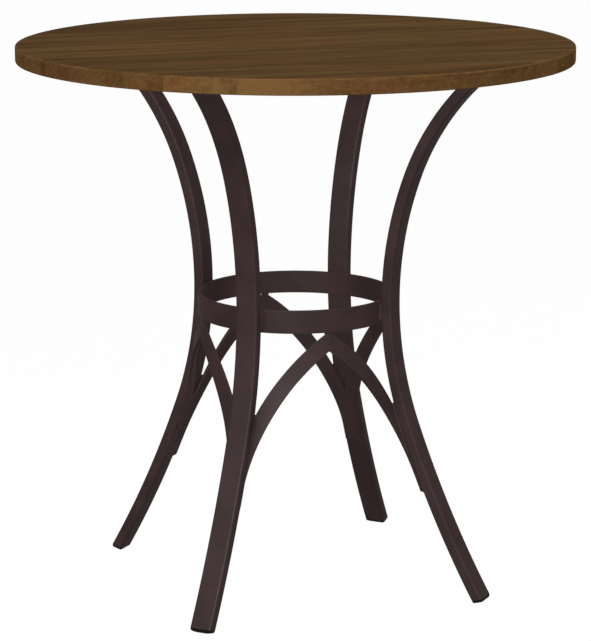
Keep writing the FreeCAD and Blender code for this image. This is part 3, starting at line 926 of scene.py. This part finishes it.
class TABLE_OT_finish_top(bpy.types.Operator):
    """Give each stave of the top its own stained wood"""

    bl_idname = "table.finish_top"
    bl_label = "Finish the top"

    def execute(self, context):
        generator = np.random.default_rng(SEED)
        for number, name in enumerate(STAVES):
            give_material(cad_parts[name], wood_material(context.scene.table_looks, number, generator))
        return {"FINISHED"}


class TABLE_OT_finish_base(bpy.types.Operator):
    """Powder-coat the legs, the hoop and the mounting plates"""

    bl_idname = "table.finish_base"
    bl_label = "Finish the base"

    def execute(self, context):
        material = coat_material(context.scene.table_looks)
        names = ["waist_hoop"]
        for corner in CORNERS:
            names += ["leg_" + corner, "leg_plate_" + corner]
        for name in names:
            give_material(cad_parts[name], material)
        return {"FINISHED"}


class TABLE_OT_bend_legs(bpy.types.Operator):
    """Carry the tube's section along the four bent legs"""

    bl_idname = "table.bend_legs"
    bl_label = "Bend the legs"

    def execute(self, context):
        material = bpy.data.materials["powder_coat"]
        for corner in CORNERS:
            points, faces = leg_tube(corner, context.scene.table_legs)
            piece = stand_in("leg_" + corner, "_bent", points, faces, material)
            mark_edges(piece)
            even_shading(piece)
        return {"FINISHED"}


class TABLE_OT_mould_glides(bpy.types.Operator):
    """Mould the domed glides in the legs' feet"""

    bl_idname = "table.mould_glides"
    bl_label = "Mould the glides"

    def execute(self, context):
        material = plastic_material(context.scene.table_looks)
        for corner in CORNERS:
            give_material(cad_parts["glide_" + corner], material)
            points, faces = domed_glide(corner, context.scene.table_legs)
            piece = stand_in("glide_" + corner, "_domed", points, faces, material)
            mark_edges(piece)
            even_shading(piece)
        return {"FINISHED"}


class TABLE_OT_roll_straps(bpy.types.Operator):
    """Round the edges of the eight flat straps"""

    bl_idname = "table.roll_straps"
    bl_label = "Roll the straps' edges"

    def execute(self, context):
        material = bpy.data.materials["powder_coat"]
        for name in STRAPS:
            give_material(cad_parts[name], material)
            rolled_strap(name, context.scene.table_looks, material)
        return {"FINISHED"}


class TABLE_OT_lay_welds(bpy.types.Operator):
    """Lay the fillet welds at the legs, the hoop and the straps"""

    bl_idname = "table.lay_welds"
    bl_label = "Lay the welds"

    def execute(self, context):
        looks = context.scene.table_looks
        material = bpy.data.materials["powder_coat"]
        generator = np.random.default_rng(SEED + 1)
        for corner in CORNERS:
            beads = hoop_and_strap_welds(corner, looks, generator) + plate_welds(corner, looks, generator)
            points, faces = joined(beads)
            mesh_piece("welds_" + corner, points, faces, material)
        points, faces = joined(point_welds(looks, generator))
        mesh_piece("welds_waist_hoop", points, faces, material)
        return {"FINISHED"}


class TABLE_OT_finish_screws(bpy.types.Operator):
    """Plate the screws that hold the top"""

    bl_idname = "table.finish_screws"
    bl_label = "Finish the screws"

    def execute(self, context):
        give_material(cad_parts["top_screws"], screw_material(context.scene.table_looks))
        return {"FINISHED"}


class TABLE_OT_set_stage(bpy.types.Operator):
    """Make the white floor and room, the lamps and the camera"""

    bl_idname = "table.set_stage"
    bl_label = "Set the stage"

    def execute(self, context):
        studio = context.scene.table_studio
        make_floor(studio)
        light_room(context.scene, studio)
        make_lamps(studio)
        make_camera(context.scene, studio)
        context.scene.view_settings.view_transform = "Standard"
        return {"FINISHED"}


def seen_share(tree):
    """1 for rays from the camera and rays that metal or glass sends on, else 0."""
    rays = add(tree, "ShaderNodeLightPath").outputs
    seen = math_node(tree, "MAXIMUM", rays["Is Camera Ray"], rays["Is Glossy Ray"])
    return math_node(tree, "MAXIMUM", seen, rays["Is Transmission Ray"])


def make_floor(studio):
    """Level disc just under the feet: rings whose radius grows as the square of their number."""
    rings, around = 12, 64
    radius = studio.floor_radius * (np.arange(rings, 0, -1) / rings) ** 2
    angle = np.arange(around) * math.tau / around
    x = np.outer(radius, np.cos(angle)).ravel()
    y = np.outer(radius, np.sin(angle)).ravel()
    points = np.stack([x, y, np.full(len(x), -0.1 * MM)], 1)
    middle = list(range((rings - 1) * around, rings * around))
    mesh = bpy.data.meshes.new("floor")
    mesh.from_pydata(points.tolist(), [], ring_faces(rings, around) + [middle])
    floor = bpy.data.objects.new("floor", mesh)
    bpy.context.scene.collection.objects.link(floor)

    material, tree = new_material("pale_floor")
    seen = seen_share(tree)
    colour = mix_colour(tree, seen, studio.floor_colour, studio.backdrop_colour)
    plain = add(tree, "ShaderNodeBsdfDiffuse", {"Color": colour})
    white = add(tree, "ShaderNodeEmission", {"Color": (1.0, 1.0, 1.0, 1.0), "Strength": 1.0})
    share = times(tree, seen, studio.floor_white)
    mixed = add(tree, "ShaderNodeMixShader", {0: share, 1: plain.outputs[0], 2: white.outputs[0]})
    add(tree, "ShaderNodeOutputMaterial", {"Surface": mixed.outputs[0]})
    give_material(floor, material)


def light_room(scene, studio):
    """Even light from all round that camera, metal and glass see as plain white."""
    world = bpy.data.worlds.new("studio_room")
    world.use_nodes = True
    tree = world.node_tree
    tree.nodes.clear()
    light = add(tree, "ShaderNodeBackground", {"Color": (1.0, 1.0, 1.0, 1.0), "Strength": studio.room_light})
    white = add(tree, "ShaderNodeBackground", {"Color": (1.0, 1.0, 1.0, 1.0), "Strength": 1.0})
    mixed = add(tree, "ShaderNodeMixShader", {0: seen_share(tree), 1: light.outputs[0], 2: white.outputs[0]})
    add(tree, "ShaderNodeOutputWorld", {"Surface": mixed.outputs[0]})
    scene.world = world


def make_lamp(name, place, target, size, power):
    """Square area lamp facing a target, unseen itself, that fills in under the top without a shadow."""
    data = bpy.data.lights.new(name, "AREA")
    data.shape = "SQUARE"
    data.size = size
    data.energy = power
    data.use_shadow = False
    lamp = bpy.data.objects.new(name, data)
    lamp.location = place
    lamp.rotation_mode = "QUATERNION"
    lamp.rotation_quaternion = (target - place).to_track_quat("-Z", "Y")
    lamp.visible_camera = False
    bpy.context.scene.collection.objects.link(lamp)


def around_table(azimuth, distance, height):
    """Point at a direction round the table from the front, a level distance and a height."""
    return Vector((math.sin(azimuth) * distance, -math.cos(azimuth) * distance, height))


def make_lamps(studio):
    """Large soft lamp above the camera, a little to its left, and weaker ones on both sides."""
    target = Vector((0.0, 0.0, 0.55 * TABLE_HEIGHT))
    for name, azimuth, elevation, power in (
            ("key_lamp", studio.key_azimuth, studio.key_elevation, studio.key_light),
            ("right_lamp", studio.right_azimuth, studio.right_elevation, studio.right_light),
            ("left_lamp", studio.left_azimuth, studio.left_elevation, studio.left_light)):
        level = studio.lamp_distance * math.cos(elevation)
        height = target.z + studio.lamp_distance * math.sin(elevation)
        place = around_table(studio.camera_azimuth + azimuth, level, height)
        make_lamp(name, place, target, studio.lamp_size, power)


def make_camera(scene, studio):
    """Camera at the photograph's viewing angle, aimed at the table's axis and tilted down."""
    data = bpy.data.cameras.new("camera")
    data.lens = studio.camera_lens
    data.clip_end = 2 * studio.floor_radius + studio.camera_distance
    camera = bpy.data.objects.new("camera", data)
    camera.location = around_table(studio.camera_azimuth, studio.camera_distance, studio.camera_height)
    camera.rotation_euler = (math.pi / 2 - studio.camera_pitch, 0.0, studio.camera_azimuth)
    scene.collection.objects.link(camera)
    scene.camera = camera


class TABLE_PT_panel(bpy.types.Panel):
    """Lists the steps that make the table and its studio, and their settings"""

    bl_idname = "TABLE_PT_panel"
    bl_label = "Counter height table"
    bl_space_type = "VIEW_3D"
    bl_region_type = "UI"
    bl_category = "Table"

    def draw(self, context):
        for operator in OPERATORS:
            self.layout.operator(operator.bl_idname)
        scene = context.scene
        for settings in (scene.table_legs, scene.table_looks, scene.table_studio):
            box = self.layout.box()
            for name in settings.__annotations__:
                box.prop(settings, name)


OPERATORS = (
    TABLE_OT_finish_top,
    TABLE_OT_finish_base,
    TABLE_OT_bend_legs,
    TABLE_OT_mould_glides,
    TABLE_OT_roll_straps,
    TABLE_OT_lay_welds,
    TABLE_OT_finish_screws,
    TABLE_OT_set_stage,
)
CLASSES = (LegShape, TableLooks, StudioSettings) + OPERATORS + (TABLE_PT_panel,)


def register():
    """Add the classes and the scene's three groups of settings."""
    for cls in CLASSES:
        bpy.utils.register_class(cls)
    bpy.types.Scene.table_legs = PointerProperty(type=LegShape)
    bpy.types.Scene.table_looks = PointerProperty(type=TableLooks)
    bpy.types.Scene.table_studio = PointerProperty(type=StudioSettings)


def unregister():
    """Take away the settings and the classes."""
    del bpy.types.Scene.table_studio
    del bpy.types.Scene.table_looks
    del bpy.types.Scene.table_legs
    for cls in reversed(CLASSES):
        bpy.utils.unregister_class(cls)


def main():
    """Make the table's pieces and its studio in order."""
    register()
    bpy.ops.table.finish_top()
    bpy.ops.table.finish_base()
    bpy.ops.table.bend_legs()
    bpy.ops.table.mould_glides()
    bpy.ops.table.roll_straps()
    bpy.ops.table.lay_welds()
    bpy.ops.table.finish_screws()
    bpy.ops.table.set_stage()


if __name__ == "__main__":
    main()
